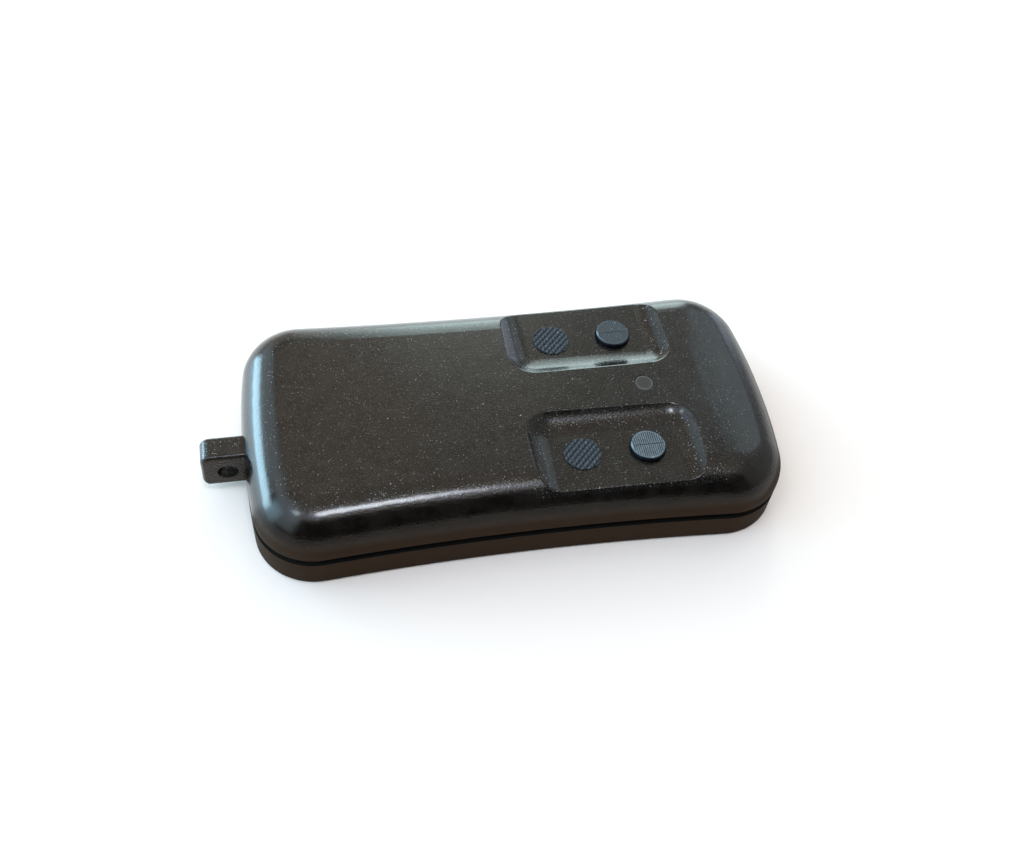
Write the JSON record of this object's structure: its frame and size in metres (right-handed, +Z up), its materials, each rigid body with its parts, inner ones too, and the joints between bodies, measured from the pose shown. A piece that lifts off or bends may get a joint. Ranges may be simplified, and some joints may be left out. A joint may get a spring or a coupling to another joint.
{
  "type": "remote control transmitter",
  "caption": "Waisted pocket radio transmitter with push buttons in side recesses, an indicator lamp and a keyring lug.",
  "frame": {"origin": "middle of the case's flat base, on the plane it rests on, keyring lug left out", "axes": "+X along the case from the keyring lug to the button end, +Y to the far side, +Z up out of the button face"},
  "size_m": [0.0775, 0.0362, 0.0122],
  "materials": {
    "case_plastic": "black ABS, fine spark-eroded grain",
    "button_plastic": "black moulded plastic, fine satin",
    "lamp_resin": "smoky clear resin, slightly dull",
    "tinned_leads": "tinned",
    "board_laminate": "green solder resist",
    "screw_steel": "zinc plated",
    "battery_jacket": "plain printed jacket, bare of print",
    "contact_nickel": "nickel plated spring steel",
    "chip_resin": "moulded epoxy",
    "can_steel": "satin stainless",
    "trimmer_ceramic": "fired ceramic",
    "rotor_brass": "plain",
    "capacitor_aluminium": "satin",
    "core_ferrite": "dark ferrite",
    "copper_wire": "enamelled copper",
    "switch_plastic": "glass-filled nylon"
  },
  "bodies": {
    "case": {"upper_shell": "case_plastic", "lower_shell": "case_plastic", "blank_plug_near": "button_plastic", "blank_plug_far": "button_plastic", "indicator_lamp": "lamp_resin", "lamp_legs": "tinned_leads", "circuit_board": "board_laminate", "case_screw": "screw_steel", "battery": "battery_jacket", "battery_contact": "contact_nickel", "spring_contact": "contact_nickel", "encoder_chip": "chip_resin", "encoder_legs": "tinned_leads", "resonator_can": "can_steel", "trimmer_base": "trimmer_ceramic", "trimmer_rotor": "rotor_brass", "output_transistor": "chip_resin", "buffer_capacitor": "capacitor_aluminium", "coil_core": "core_ferrite", "coil_winding": "copper_wire", "antenna_loop": "copper_wire", "chip_resistors": "chip_resin", "chip_capacitors": "trimmer_ceramic", "switch_base_near": "switch_plastic", "switch_cover_near": "can_steel", "switch_dome_near": "can_steel", "switch_terminals_near": "tinned_leads", "switch_base_far": "switch_plastic", "switch_cover_far": "can_steel", "switch_dome_far": "can_steel", "switch_terminals_far": "tinned_leads"},
    "near_button": {"button_near": "button_plastic", "switch_plunger_near": "switch_plastic"},
    "far_button": {"button_far": "button_plastic", "switch_plunger_far": "switch_plastic"}
  },
  "joints": [
    {"name": "near_button_press", "type": "slide", "parent": "case", "child": "near_button", "axis": [0, 0, -1], "range_m": [0, 0.0003], "stiffness_N_per_m": 300, "springref_m": -0.0005},
    {"name": "far_button_press", "type": "slide", "parent": "case", "child": "far_button", "axis": [0, 0, -1], "range_m": [0, 0.0003], "stiffness_N_per_m": 300, "springref_m": -0.0005}
  ]
}
